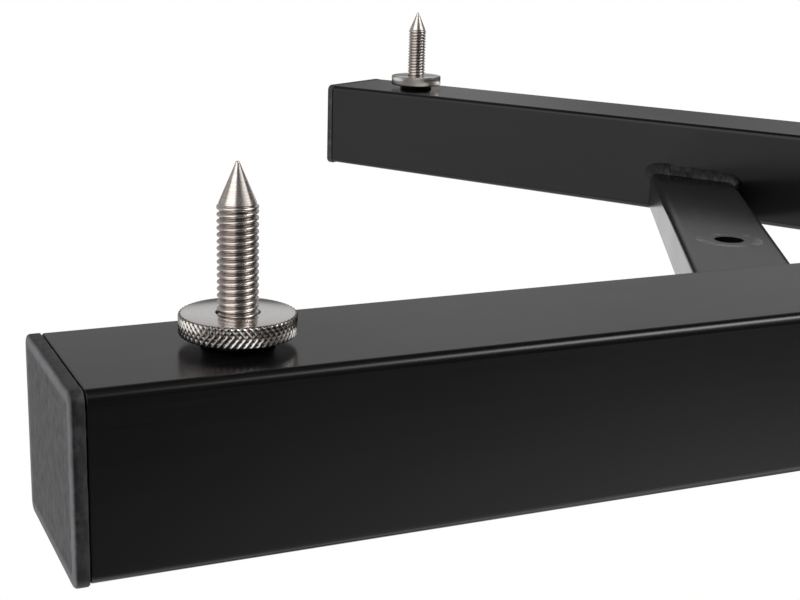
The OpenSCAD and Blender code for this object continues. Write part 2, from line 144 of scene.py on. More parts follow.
def axisDistance(tree, place, centre):  # how far a point lies from an upright axis through a place in mm
    away = addNode(tree, "ShaderNodeVectorMath", {"operation": "SUBTRACT", 1: [c * mm for c in centre]},
                   {0: (place, "Object")})
    flat = addNode(tree, "ShaderNodeVectorMath", {"operation": "MULTIPLY", 1: (1, 1, 0)},
                   {0: (away, "Vector")})
    return addNode(tree, "ShaderNodeVectorMath", {"operation": "LENGTH"}, {0: (flat, "Vector")})


def fillRamp(ramp, stops):  # stops: (position, linear colour)
    band = ramp.color_ramp
    while len(band.elements) < len(stops):
        band.elements.new(0.5)  # placed by the next lines
    for element, (position, colour) in zip(band.elements, stops):
        element.position = position
        element.color = colour
    return ramp


def shadeOf(tree, surface, pattern, colours, span):  # base colour that runs with a pattern's value
    ramp = addNode(tree, "ShaderNodeValToRGB", {}, {"Fac": pattern})
    fillRamp(ramp, [(position, linear(colour)) for position, colour in zip(span, colours)])
    tree.links.new(ramp.outputs["Color"], surface.inputs["Base Color"])
    return ramp


def layOver(tree, surface, shade, colour, mask):  # another colour over the base, as far as a mask says
    mixed = addNode(tree, "ShaderNodeMixRGB", {"Color2": linear(colour)},
                    {"Fac": mask, "Color1": (shade, "Color")})
    tree.links.new(mixed.outputs["Color"], surface.inputs["Base Color"])


def glossOf(tree, surface, pattern, span, ends):  # roughness that runs with a pattern's value
    settings = {"From Min": span[0], "From Max": span[1], "To Min": ends[0], "To Max": ends[1]}
    gloss = addNode(tree, "ShaderNodeMapRange", settings, {"Value": pattern})
    tree.links.new(gloss.outputs["Result"], surface.inputs["Roughness"])
    return gloss


def reliefOf(tree, surface, layers):  # bumps one over the other: (pattern, strength, depth in mm)
    below = None
    for pattern, strength, depthMm in layers:
        links = {"Height": pattern, "Normal": (below, "Normal")} if below else {"Height": pattern}
        below = addNode(tree, "ShaderNodeBump", {"Strength": strength, "Distance": depthMm * mm}, links)
    tree.links.new(below.outputs["Normal"], surface.inputs["Normal"])


# finishes

coatLook = {
    "colour": "#111011", "tint": "#171617", "paleMark": "#a39fa1",  # satin black with a trace of brown
    "ior": 1.45, "roughness": 0.19, "roughnessSpan": 0.05, "rubbedRougher": 0.1, "span": (0.35, 0.65),
    "drawMm": 0.6, "drawLengthMm": 60, "drawDetail": 4, "drawRoughness": 0.6, "drawShare": 0.6,
    "cloudMm": 40, "cloudDetail": 3, "cloudShare": 0.4, "grainMm": 1.3, "grainDetail": 2,
    "ridge": 0.012, "ridgeDepthMm": 0.05, "pebble": 0.1, "pebbleDepthMm": 0.04,
}
polymerLook = {
    "ior": 1.5, "grainDetail": 3, "grain": 0.4, "grainDepthMm": 0.08, "scuffDepthMm": 0.06,
    "cloudMm": 9, "cloudDetail": 7, "cloudRoughness": 0.75, "scratchMm": (1.1, 1.1, 1.9), "scratchDetail": 3,
    "wornSpan": (0.2, 0.34), "glossSpan": (0.3, 0.7), "smoother": 0.1, "rougher": 0.12,
}
turnedLook = {
    "aroundMm": 40, "detail": 3, "lineRoughness": 0.7, "shadeSpan": (0.3, 0.62),
    "glossSpan": (0.3, 0.7), "hollowRougher": 0.08, "crestSmoother": 0.04, "depthMm": 0.02,
}
facedLook = {
    "anisotropic": 0.4, "turn": 0.25, "detail": 3, "lineRoughness": 0.7, "shadeSpan": (0.3, 0.65),
    "glossSpan": (0.3, 0.7), "hollowRougher": 0.05, "crestSmoother": 0.03, "relief": 0.12, "depthMm": 0.01,
}


# polyester powder coat on drawn tube: satin, faintly pebbled, with draw lines along a heading, or up for None
def powderCoat(name, heading, rub=None, rougher=0):
    look = coatLook
    made, tree, surface, place = newMaterial(name, {"IOR": look["ior"]})
    long, wide = look["drawLengthMm"], look["drawMm"]
    turned = addNode(tree, "ShaderNodeMapping", {"Rotation": (0, 0, -(heading or 0))},
                     {"Vector": (place, "Object")})
    lineSizes = (wide, wide, long) if heading is None else (long, wide, wide)
    draw = streaks(tree, (turned, "Vector"), lineSizes, look["drawDetail"], look["drawRoughness"])
    cloud = speckle(tree, place, look["cloudMm"], look["cloudDetail"])
    grain = speckle(tree, place, look["grainMm"], look["grainDetail"])
    lines = mathNode(tree, "MULTIPLY", (draw, "Fac"), look["drawShare"])
    both = mathNode(tree, "MULTIPLY_ADD", (cloud, "Fac"), look["cloudShare"], (lines, "Value"))
    shade = shadeOf(tree, surface, (both, "Value"), (look["colour"], look["tint"]), look["span"])
    smoothest = look["roughness"] + rougher
    gloss = glossOf(tree, surface, (both, "Value"), look["span"],
                    (smoothest, smoothest + look["roughnessSpan"]))
    if rub:  # a ring that a washer or tool has rubbed round a hole, broken into patches
        reach = axisDistance(tree, place, rub["centre"])
        band = mathNode(tree, "COMPARE", (reach, "Value"), rub["radius"] * mm, rub["width"] / 2 * mm)
        patches = speckle(tree, place, rub["patchMm"], rub["patchDetail"])
        start, end = rub["patchSpan"]
        broken = addNode(tree, "ShaderNodeMapRange",
                         {"From Min": start, "From Max": end, "To Max": rub["strength"]},
                         {"Value": (patches, "Fac")})
        mask = mathNode(tree, "MULTIPLY", (band, "Value"), (broken, "Result"))
        layOver(tree, surface, shade, look["paleMark"], (mask, "Value"))
        duller = mathNode(tree, "MULTIPLY_ADD", (mask, "Value"), look["rubbedRougher"], (gloss, "Result"))
        tree.links.new(duller.outputs["Value"], surface.inputs["Roughness"])
    reliefOf(tree, surface, (((draw, "Fac"), look["ridge"], look["ridgeDepthMm"]),
                             ((grain, "Fac"), look["pebble"], look["pebbleDepthMm"])))
    return made


# moulded plastic or rubber: matt with a fine grain, pale scuffs, and rims made pale where the mesh is marked
# (on the caps this is wear, and a painted highlight along the front edges)
def mouldedPolymer(name, base, worn, paleMark, roughness, grainMm, scuffs):
    look = polymerLook
    made, tree, surface, place = newMaterial(name, {"IOR": look["ior"]})
    grain = speckle(tree, place, grainMm, look["grainDetail"])
    cloud = speckle(tree, place, look["cloudMm"], look["cloudDetail"], look["cloudRoughness"])
    scratch = streaks(tree, (place, "Object"), look["scratchMm"], look["scratchDetail"])
    worked = mathNode(tree, "MULTIPLY", (cloud, "Fac"), (scratch, "Fac"))
    shade = shadeOf(tree, surface, (worked, "Value"), (base, worn), look["wornSpan"])
    # the mesh's marked rims take the pale colour: worn plastic, and on the caps' front edges a painted
    # highlight
    rim = addNode(tree, "ShaderNodeAttribute", {"attribute_name": "paleMark"})
    broken = mathNode(tree, "MULTIPLY", (rim, "Fac"), (cloud, "Fac"))
    layOver(tree, surface, shade, paleMark, (broken, "Value"))
    glossOf(tree, surface, (cloud, "Fac"), look["glossSpan"],
            (roughness - look["smoother"], roughness + look["rougher"]))
    reliefOf(tree, surface, (((grain, "Fac"), look["grain"], look["grainDepthMm"]),
                             ((scratch, "Fac"), scuffs, look["scuffDepthMm"])))
    return made


# metal turned on a lathe: fine rings, and painted shade where the mesh is marked as the pit of a thread or
# knurl
def turnedMetal(name, colour, dull, hollowShade, roughness, lineMm, relief):
    look = turnedLook
    made, tree, surface, place = newMaterial(name, {"Metallic": 1.0})
    lines = streaks(tree, (place, "Object"), (look["aroundMm"], look["aroundMm"], lineMm), look["detail"],
                    look["lineRoughness"])
    shade = shadeOf(tree, surface, (lines, "Fac"), (dull, colour), look["shadeSpan"])
    # painted shade: the marked hollows of threads and knurls take a darker colour
    hollowShadeMask = addNode(tree, "ShaderNodeAttribute", {"attribute_name": "hollowShade"})
    layOver(tree, surface, shade, hollowShade, (hollowShadeMask, "Fac"))
    glossOf(tree, surface, (lines, "Fac"), look["glossSpan"],
            (roughness + look["hollowRougher"], roughness - look["crestSmoother"]))
    reliefOf(tree, surface, (((lines, "Fac"), relief, look["depthMm"]),))
    return made


def facedMetal(name, centre, colour, dull, roughness, lineMm):  # faced on a lathe: rings round its own axis
    look = facedLook
    made, tree, surface, place = newMaterial(name, {
        "Metallic": 1.0, "Anisotropic": look["anisotropic"], "Anisotropic Rotation": look["turn"]})
    around = addNode(tree, "ShaderNodeTangent", {"direction_type": "RADIAL", "axis": "Z"})
    tree.links.new(around.outputs["Tangent"], surface.inputs["Tangent"])
    reach = axisDistance(tree, place, centre)
    count = mathNode(tree, "MULTIPLY", (reach, "Value"), perMetre(lineMm))
    rings = addNode(tree, "ShaderNodeTexNoise",
                    {"noise_dimensions": "1D", "Scale": 1.0, "Detail": look["detail"],
                     "Roughness": look["lineRoughness"]}, {"W": (count, "Value")})
    shadeOf(tree, surface, (rings, "Fac"), (dull, colour), look["shadeSpan"])
    glossOf(tree, surface, (rings, "Fac"), look["glossSpan"],
            (roughness + look["hollowRougher"], roughness - look["crestSmoother"]))
    reliefOf(tree, surface, (((rings, "Fac"), look["relief"], look["depthMm"]),))
    return made


# mesh helpers: all lengths in mm, in the stand's own frame

record = frame["record"]
bodyOf = {node: name for name, nodes in record["behaviour"]["bodies"].items() for node in nodes}
dressing = {  # mm, and degrees
    "joined": 0.002, "flatDegrees": 0.5, "hardDegrees": 28, "segments": 2, "sharp": 35,
}


def corners(node):  # a node's lowest and highest corner, in mm
    low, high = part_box(node)
    return low / mm, high / mm


def middleOf(node):
    low, high = corners(node)
    return (low + high) / 2


def axisFoot(node):  # the lowest point on an upright turned piece's axis
    low, high = corners(node)
    return ((low.x + high.x) / 2, (low.y + high.y) / 2, low.z)


def finishPiece(piece, finish, body, stands, sharp):
    data = piece.data
    data.polygons.foreach_set("use_smooth", [True] * len(data.polygons))
    data.set_sharp_from_angle(angle=math.radians(sharp))
    data.materials.clear()
    data.materials.append(finish)
    flat = piece.modifiers.new("keepFlat", "WEIGHTED_NORMAL")  # large faces stay flat beside rounded edges
    flat.keep_sharp = True
    bpy.context.scene.collection.objects.link(piece)
    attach(piece, body)
    if stands:
        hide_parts(*stands)
    return piece


def addPiece(name, verts, faces, finish, body, stands, sharp, marks=None):
    data = bpy.data.meshes.new(name)
    data.from_pydata([Vector(v) * mm for v in verts], [], faces)
    data.validate()
    for mark, values in (marks or {}).items():
        data.attributes.new(mark, "FLOAT", "POINT").data.foreach_set("value", values)
    return finishPiece(bpy.data.objects.new(name, data), finish, body, stands, sharp)


def dressedCopy(node, finish, bevel):  # the CAD solid with its edges softened
    shape = bmesh.new()
    shape.from_mesh(frame["nodes"][node].data)
    bmesh.ops.remove_doubles(shape, verts=shape.verts, dist=dressing["joined"] * mm)
    bmesh.ops.dissolve_limit(shape, angle_limit=math.radians(dressing["flatDegrees"]), verts=shape.verts,
                             edges=shape.edges)
    if bevel:
        least = math.radians(dressing["hardDegrees"])
        hard = [e for e in shape.edges if len(e.link_faces) == 2 and e.calc_face_angle(0) > least]
        bmesh.ops.bevel(shape, geom=hard, offset=bevel * mm, segments=dressing["segments"], affect="EDGES",
                        clamp_overlap=True)
    data = bpy.data.meshes.new(node + ".dressed")
    shape.to_mesh(data)
    shape.free()
    piece = bpy.data.objects.new(node + ".dressed", data)
    return finishPiece(piece, finish, bodyOf[node], (node,), dressing["sharp"])


def facingOut(verts, faces, joined=0):  # every face turned outward, and points nearer than a length joined
    solid = bmesh.new()
    made = [solid.verts.new(v) for v in verts]
    for face in faces:
        used = [made[i] for i in face]
        if len(set(face)) == len(face) and not solid.faces.get(used):
            solid.faces.new(used)
    if joined:
        bmesh.ops.remove_doubles(solid, verts=solid.verts, dist=joined)
    bmesh.ops.recalc_face_normals(solid, faces=solid.faces)
    solid.verts.index_update()
    points = [tuple(v.co) for v in solid.verts]
    polygons = [tuple(v.index for v in f.verts) for f in solid.faces]
    solid.free()
    return points, polygons


def ringFaces(rows, columns, looped=False):  # quads between closed rows of equal point counts
    faces = []
    for row in range(rows if looped else rows - 1):
        here, beyond = row * columns, (row + 1) % rows * columns
        for col in range(columns):
            after = (col + 1) % columns
            faces.append((here + col, here + after, beyond + after, beyond + col))
    return faces


def firstRow(columns):  # a face over the first row, seen from before it
    return tuple(range(columns - 1, -1, -1))


def lastRow(rows, columns):  # a face over the last row
    return tuple(range((rows - 1) * columns, rows * columns))


def roundedOutline(width, height, radius, cornerSteps, sideSteps=1):  # (point, outward) pairs, anticlockwise
    arcs = []
    for corner, (sx, sy) in enumerate(((1, 1), (-1, 1), (-1, -1), (1, -1))):
        middle = Vector((sx * (width / 2 - radius), sy * (height / 2 - radius)))
        angles = [math.radians(90 * (corner + step / cornerSteps)) for step in range(cornerSteps + 1)]
        outwards = [Vector((math.cos(angle), math.sin(angle))) for angle in angles]
        arcs.append([(middle + radius * outward, outward) for outward in outwards])
    points = []
    for arc, following in zip(arcs, arcs[1:] + arcs[:1]):
        points += arc
        (start, outward), end = arc[-1], following[0][0]
        points += [(start.lerp(end, step / sideSteps), outward) for step in range(1, sideSteps)]
    return points


def flatRing(radius, height, columns):
    return [(radius, 2 * math.pi * col / columns, height) for col in range(columns)]


def ringsToMesh(rows, centre, axis="z", looped=False):  # rows of (radius, angle, height), closed or looped
    verts, columns = [], len(rows[0])
    for ring in rows:
        for radius, angle, height in ring:
            a, b = radius * math.cos(angle), radius * math.sin(angle)
            offset = (a, b, height) if axis == "z" else (a, height, -b)
            verts.append(tuple(c + o for c, o in zip(centre, offset)))
    faces = ringFaces(len(rows), columns, looped)
    if not looped:
        faces += [firstRow(columns), lastRow(len(rows), columns)]
    return verts, faces


# base arms: one skin of rectangular tube each, mitred at the nose

halfAngle = math.radians(30)  # between each arm and the middle of the V
armShape = {
    "width": 38, "height": 35, "corner": 2, "length": 434.7,  # mm, the length from the point of the V
    "noseRadius": 3, "endBevel": 0.3, "endGap": 0.15, "cornerSteps": 12,
    "stations": (8, 60, 180, 300, 400),  # from the point of the V
    "endRows": ((0.3, 0.1), (1, 0)),  # share of the bevel, distance from the end
    "joined": 0.001, "sharp": 50,
}
footPlace = middleOf("insert_nose")
armMiddle = middleOf("arm_left").z
barPlace = middleOf("crossbar")

coatLeft = powderCoat("powderCoatLeftArm", -math.pi / 2 - halfAngle)
coatRight = powderCoat("powderCoatRightArm", -math.pi / 2 + halfAngle)
coatPlate = powderCoat("powderCoatFlatBar", math.pi / 2)
coatUpright = powderCoat("powderCoatColumn", None)
coatCrossbar = powderCoat("powderCoatCrossbar", 0, rub={
    "centre": barPlace, "radius": 8.8, "width": 3, "patchMm": 7, "patchDetail": 3, "patchSpan": (0.4, 0.62),
    "strength": 0.4})
weldCoat = powderCoat("powderCoatWelds", 0, rougher=0.2)  # the coat lies duller over the weld's ripples
armPieces = {-1: ("leftArm", "arm_left", coatLeft), 1: ("rightArm", "arm_right", coatRight)}  # by side


# along the arm from the point of the V, out to its outer side, up from its middle
def onArm(side, along, out, up):
    return (side * (along * math.sin(halfAngle) + out * math.cos(halfAngle)),
            footPlace.y - along * math.cos(halfAngle) + out * math.sin(halfAngle), armMiddle + up)


def mitreStart(out):  # where a line along the tube's skin begins, at the mitre or on the ground nose
    radius = armShape["noseRadius"]
    centreOut = armShape["width"] / 2 - radius
    if out <= centreOut + radius * math.sin(halfAngle):
        return -out / math.tan(halfAngle)
    return -centreOut / math.tan(halfAngle) - math.sqrt(max(radius ** 2 - (out - centreOut) ** 2, 0))


def noseFaces(outline):  # the ground nose as quads from top to bottom, and the mitre as one face
    columns = range(len(outline))
    noseStart = armShape["width"] / 2 - armShape["noseRadius"] * (1 - math.sin(halfAngle))
    top = [i for i in columns if outline[i].y > 0 and outline[i].x > noseStart]
    bottom = [min(columns, key=lambda j: abs(outline[j].x - outline[i].x) + abs(outline[j].y + outline[i].y))
              for i in top]
    mitre = [i for i in columns if i not in top[:-1] and i not in bottom[:-1]]
    start = mitre.index(top[-1])
    return list(zip(top, top[1:], bottom[1:], bottom)) + [tuple(mitre[start:] + mitre[:start])]


def makeArm(side):
    shape = armShape
    outline = [point for point, outward in roundedOutline(shape["width"], shape["height"], shape["corner"],
                                                          shape["cornerSteps"])]
    last = shape["length"] - shape["endGap"]
    verts = [onArm(side, mitreStart(out), out, up) for out, up in outline]
    stations = shape["stations"] + (last - shape["endBevel"],)
    for along in stations:
        verts += [onArm(side, along, out, up) for out, up in outline]
    for share, before in shape["endRows"]:
        inset = [1 - 2 * shape["endBevel"] * share / shape[k] for k in ("width", "height")]
        verts += [onArm(side, last - before, out * inset[0], up * inset[1]) for out, up in outline]
    rows = len(verts) // len(outline)
    faces = ringFaces(rows, len(outline)) + [lastRow(rows, len(outline))] + noseFaces(outline)
    points, polygons = facingOut(verts, faces, shape["joined"])
    name, node, finish = armPieces[side]
    return addPiece(name, points, polygons, finish, "stand_base", (node,), shape["sharp"])


for side in armPieces:
    makeArm(side)
print("arms made")


# end caps: a flange over the tube's end, pale along its rims (wear, and a painted highlight along the front
# edges) and a little ragged behind

capShape = {
    "thickness": 2.8, "proud": 0.3, "lift": 0.2, "corner": 2.3, "edge": 0.75, "rearEdge": 0.35,  # mm
    "dish": 0.12, "ragged": 0.12, "raggedLength": 2.2, "cornerSteps": 6, "sideSteps": 30, "edgeSteps": 8,
    "seatInset": 2, "seatGap": 0.02, "rearInset": 0.12, "rearRise": 0.14, "rimInset": 1.9, "rimStep": 0.02,
    "dishInsets": (2.6, 6, 12), "cornerLoss": 0.6, "leastCorner": 0.8, "edgeWearAndHighlightStart": 0.7, "sharp": 60,
    "rearPale": 0.2, "rearMidPale": 0.5, "sidePale": 0.15, "rimWearAndHighlight": 0.5, "sideRag": 0.4,
    "unlike": 40,  # how far the two caps' raggedness lies apart
}
# the last colour is the pale rim colour: wear, and a painted highlight on the front edges
capPlastic = mouldedPolymer("polyethyleneCap", "#19171a", "#383639", "#7f7d80",
                            roughness=0.48, grainMm=0.5, scuffs=0.25)
capPieces = {-1: ("leftCap", "end_cap_left"), 1: ("rightCap", "end_cap_right")}  # by side


def capRows():  # the cap's profile: inset, distance from the tube's end, how pale (wear, and on the front edges a painted highlight), how ragged
    shape = capShape
    front, floor = shape["thickness"], shape["thickness"] - shape["dish"]
    rows = [(shape["seatInset"], shape["seatGap"], 0, 0),
            (shape["rearEdge"], shape["seatGap"], shape["rearPale"], 1),
            (shape["rearInset"], shape["rearRise"], shape["rearMidPale"], 1),
            (0, shape["rearEdge"], shape["sidePale"], shape["sideRag"])]
    # the rounded front edge is palest along its middle, where a highlight line falls: wear with a painted
    # highlight
    for step in range(shape["edgeSteps"] + 1):
        angle = math.pi / 2 * step / shape["edgeSteps"]
        rows.append((shape["edge"] * (1 - math.cos(angle)), front - shape["edge"] * (1 - math.sin(angle)),
                     max(0, math.sin(2 * angle - shape["edgeWearAndHighlightStart"])), 0))
    slope, *level = shape["dishInsets"]
    rows += [(shape["rimInset"], front - shape["rimStep"], shape["rimWearAndHighlight"], 0),
             (slope, front - shape["dish"] / 2, 0, 0)]
    return rows + [(inset, floor, 0, 0) for inset in level]


def makeCap(side):
    shape = capShape
    rows = capRows()
    verts, paleMark = [], []
    for inset, along, paleShare, rag in rows:
        outline = roundedOutline(armShape["width"] + 2 * shape["proud"] - 2 * inset,
                                 armShape["height"] + 2 * shape["proud"] - 2 * inset,
                                 max(shape["corner"] - inset * shape["cornerLoss"], shape["leastCorner"]),
                                 shape["cornerSteps"], shape["sideSteps"])
        for (out, up), outward in outline:
            spot = Vector((out, up, side * shape["unlike"])) / shape["raggedLength"]
            uneven = noise.noise(spot) * shape["ragged"] * rag
            reach = armShape["length"] + along + max(uneven, -along)
            verts.append(onArm(side, reach, out, up + shape["lift"]))
            paleMark.append(paleShare)
    columns = len(outline)
    faces = ringFaces(len(rows), columns) + [lastRow(len(rows), columns), firstRow(columns)]
    if side < 0:
        faces = [tuple(reversed(face)) for face in faces]
    name, node = capPieces[side]
    return addPiece(name, verts, faces, capPlastic, "stand_base", (node,), shape["sharp"],
                    {"paleMark": paleMark})


for side in capPieces:
    makeCap(side)
print("caps made")


# levelling feet: rolled M8 threads, blunt cones and diamond-knurled discs

spikeShape = {
    "crest": 3.85, "pitch": 1.25, "depth": 0.55, "rounding": 1.3, "length": 54,  # mm
    "tip": 0.4, "tipRows": ((0.55, 0), (0.9, 0.08)), "coneStart": 0.25,  # rows: share of the tip, height
    "coneTop": 3.5, "cone": 7.5, "coneSteps": 24, "neck": 0.12, "neckEnd": 0.3, "shoulder": 0.45,
    "chamfer": 0.1, "plainEnd": 0.2, "ring": 8.35, "fadeStart": 0.4, "fadeEnd": 0.8,
    "endStep": 0.6, "endChamfer": 0.7, "samples": 12, "columns": 64, "hollowShadeExponent": 2.5, "sharp": 60,
}
discShape = {
    "radius": 11, "thickness": 4.05, "bore": 4.08, "sink": 0.12,  # mm
    "knurls": 57, "lean": 40, "depth": 0.4, "samples": 12, "rows": 36, "secondPass": 0.6,
    "change": 0.35, "changeSpan": 0.3,  # where one stroke gives way to the other, as shares of the thickness
    "margin": 0.12, "roll": 0.5, "rollDepth": 0.3, "faceStep": 0.1, "chamfer": 0.25, "chamferRise": 0.05,
    "hollowShadeExponent": 1.5, "faceLimit": 0.97, "sharp": 28,
}
insertEdge = 0.15  # mm
# the fourth colour of each turned metal is painted shade for the hollows of its threads and knurls
stainless = turnedMetal("turnedStainless", "#eee6e0", "#cdc3bd", "#9a8c85",
                        roughness=0.2, lineMm=0.16, relief=0.25)
knurledSteel = turnedMetal("knurledStainless", "#eee7e1", "#d6cfc9", "#4a4340",
                           roughness=0.22, lineMm=0.5, relief=0.1)
zinc = turnedMetal("zincPlatedSteel", "#a7a8aa", "#8b8c8e", "#4b4b4c",
                   roughness=0.34, lineMm=0.6, relief=0.15)
# painted shade: the inserts are zinc plated but coloured near black, so the gap under each disc stays dark
zincDarkenedForShade = turnedMetal("zincPlatedSteelDarkenedForShade", "#242425", "#19191a", "#101010",
                        roughness=0.42, lineMm=0.6, relief=0.15)


def threadDip(turn):  # 0 on the rounded crest, 1 at the root, for a fraction of one pitch
    return (0.5 - 0.5 * math.cos(2 * math.pi * turn)) ** spikeShape["rounding"]


def rodRows(start, end, depth, samples, columns, fadeStart, fadeEnd):  # M8 thread that fades at its ends
    rows = []
    crest, pitch = spikeShape["crest"], spikeShape["pitch"]
    count = max(int((end - start) / pitch * samples), 2)
    for row in range(count + 1):
        height = start + (end - start) * row / count
        strength = min((height - start) / fadeStart, (end - height) / fadeEnd, 1)
        ring = []
        for col in range(columns):
            angle = 2 * math.pi * col / columns
            dip = threadDip(height / pitch - angle / (2 * math.pi)) * max(strength, 0)
            ring.append((crest - depth * dip, angle, height))
        rows.append(ring)
    return rows


def pitsOf(rows, radius, depth, hollowShadeExponent=1):  # how deep each point lies under the crests, as a share; it sets how much painted shade the hollows get
    return [min(max((radius - r) / depth, 0), 1) ** hollowShadeExponent for ring in rows for r, angle, height in ring]


def makeSpike(foot):
    node = "spike_" + foot
    shape = spikeShape
    columns, crest, tip, cone = (shape[k] for k in ("columns", "crest", "tip", "cone"))
    neck = shape["coneTop"] - shape["neck"]
    profile = [(tip * share, height) for share, height in shape["tipRows"]]
    for step in range(shape["coneSteps"] + 1):
        share = step / shape["coneSteps"]
        profile.append((tip + (shape["coneTop"] - tip) * share,
                        shape["coneStart"] + (cone - shape["coneStart"]) * share))
    profile += [(neck, cone + shape["neck"]), (neck, cone + shape["neckEnd"]),
                (crest - shape["chamfer"], cone + shape["shoulder"]),
                (crest, shape["ring"] - shape["plainEnd"])]
    rows = [flatRing(radius, height, columns) for radius, height in profile]
    rows += rodRows(shape["ring"], shape["length"] - shape["endStep"], shape["depth"], shape["samples"],
                    columns, shape["fadeStart"], shape["fadeEnd"])
    rows.append(flatRing(crest - shape["endChamfer"], shape["length"], columns))
    verts, faces = ringsToMesh(rows, axisFoot(node))
    # the thread's depth share marks where its hollows get painted shade
    pits = [0] * (len(profile) * columns) + pitsOf(rows[len(profile):], crest, shape["depth"], shape["hollowShadeExponent"])
    return addPiece(f"spike{foot}Threaded", verts, faces, stainless, bodyOf[node], (node,),
                    shape["sharp"], {"hollowShade": pits})


def knurledRim():  # two families of slanting strokes, each stronger on its own half of the rim
    shape = discShape
    columns = shape["knurls"] * shape["samples"]
    radius, height, weak = shape["radius"], shape["thickness"], shape["secondPass"]
    lean = math.tan(math.radians(shape["lean"])) * shape["knurls"] / (2 * math.pi * radius)
    rim = []
    for row in range(shape["rows"] + 1):
        z = shape["margin"] + (height - 2 * shape["margin"]) * row / shape["rows"]
        edge = min(z / shape["roll"], (height - z) / shape["roll"], 1)  # the knurl's ends roll over
        upper = min(max((z / height - shape["change"]) / shape["changeSpan"], 0), 1)
        ring = []
        for col in range(columns):
            count = col / shape["samples"]
            ridges = [abs(((count + way * z * lean) % 1) - 0.5) * 2 for way in (-1, 1)]  # 1 on a crest
            dip = 1 - max(ridges[0] * (weak + (1 - weak) * upper), ridges[1] * (1 - (1 - weak) * upper))
            ring.append((radius - shape["depth"] * dip - shape["rollDepth"] * (1 - edge) ** 2,
                         2 * math.pi * col / columns, z))
        rim.append(ring)
    return rim


def makeDisc(foot):
    node = "lock_disc_" + foot
    shape = discShape
    rim = knurledRim()
    columns, height, bore = len(rim[0]), shape["thickness"], shape["bore"]
    face = shape["radius"] - shape["depth"] - shape["faceStep"]
    under = [(bore, height), (bore, shape["sink"]), (bore + shape["sink"], 0), (face - shape["chamfer"], 0),
             (face, shape["chamferRise"])]
    rows = [flatRing(radius, z, columns) for radius, z in under] + rim + [flatRing(face, height, columns)]
    verts, faces = ringsToMesh(rows, axisFoot(node), looped=True)
    # the knurl's depth share marks where its grooves get painted shade
    pits = pitsOf(rim, shape["radius"], shape["depth"], shape["hollowShadeExponent"])
    pits = [0] * (len(under) * columns) + pits + [0] * columns
    piece = addPiece(f"lockdisc{foot}Knurled", verts, faces, knurledSteel, bodyOf[node],
                     (node,), shape["sharp"], {"hollowShade": pits})
    piece.data.materials.append(facedMetal("facedStainless" + foot.capitalize(), axisFoot(node), "#f8f5f3",
                                           "#efecea", roughness=0.13, lineMm=0.3))
    for polygon in piece.data.polygons:
        if abs(polygon.normal.z) > shape["faceLimit"]:
            polygon.material_index = 1
    return piece


for foot in ("left", "right", "nose"):
    makeSpike(foot)
    makeDisc(foot)
    # each insert takes the near-black zinc, as painted shade in the gap under its disc
    dressedCopy("insert_" + foot, zincDarkenedForShade, insertEdge)
print("feet made")


# weld beads: rippled fillets in the corners between the painted parts

weldShape = {
    "ripple": 1.7, "rippleDepth": 0.28, "step": 0.3, "columns": 8, "toe": 0.15, "buried": 0.4,  # mm
    "swell": 0.455, "swellLength": 6, "startShare": 0.55, "startLength": 3,  # how the bead's size runs
    "bow": 0.25, "bowLength": 3, "curve": 0.9, "waver": 0.25, "waverLength": 2,
    "cornerSteps": 6, "shortest": 1e-6, "sharp": 70,
}
barShape = {"width": 30, "height": 15, "corner": 2.5, "weld": 3.4}  # mm
frameWelds = {  # node: width and corner of the tube, size of the bead, up or down from the plate
    "column_tube": {"name": "columnFootWeld", "width": 40, "corner": 3, "leg": 4, "way": 1},
    "sliding_tube": {"name": "headWeld", "width": 30, "corner": 2.5, "leg": 3.2, "way": -1},
}
crotchShape = {"leg": 4.5, "short": 0.6}  # mm, the bead and how far it stops short of the arms' faces


# each knot of the path is a place, the direction up one part and the direction along the other
def makeWeld(name, path, leg, body, closed=False):
    shape = weldShape
    path = [tuple(Vector(v) for v in knot) for knot in path]
    if closed:
        path.append(path[0])
    reach = [0]
    for a, b in zip(path, path[1:]):
        reach.append(reach[-1] + (b[0] - a[0]).length)
    whole = reach[-1]
    count = max(int(whole / shape["step"]), 4)
    rows, knot = [], 0
    for row in range(count if closed else count + 1):
        s = whole * row / count
        while knot < len(path) - 2 and reach[knot + 1] < s:
            knot += 1
        share = (s - reach[knot]) / max(reach[knot + 1] - reach[knot], shape["shortest"])
        place, first, second = (path[knot][k].lerp(path[knot + 1][k], share) for k in range(3))
        swell = 1 + shape["swell"] * noise.noise(Vector((s / shape["swellLength"], leg, whole)))
        if not closed:
            swell *= min(1, shape["startShare"] + min(s, whole - s) / shape["startLength"])
        bowed = shape["bow"] * noise.noise(place / shape["bowLength"])
        waver = shape["waver"] * noise.noise(place / shape["waverLength"])
        ring = [place - (first + second) * shape["buried"]]
        for col in range(shape["columns"] + 1):
            angle = math.pi / 2 * col / shape["columns"]
            middle = math.sin(2 * angle)  # 1 halfway round the bead
            phase = (s + shape["curve"] * middle + waver) / shape["ripple"] % 1
            size = leg * swell * (1 + bowed * middle) / (math.cos(angle) + math.sin(angle))
            size += shape["rippleDepth"] * middle * (0.5 - phase ** 2)
            ring.append(place + first * (size * math.cos(angle)) + second * (size * math.sin(angle)))
        ring[1] -= second * shape["toe"]
        ring[-1] -= first * shape["toe"]
        rows.append(ring)
    columns = len(rows[0])
    faces = ringFaces(len(rows), columns, looped=closed)
    if not closed:
        faces += [firstRow(columns), lastRow(len(rows), columns)]
    points, polygons = facingOut([v for ring in rows for v in ring], faces)
    return addPiece(name, points, polygons, weldCoat, body, (), shape["sharp"])


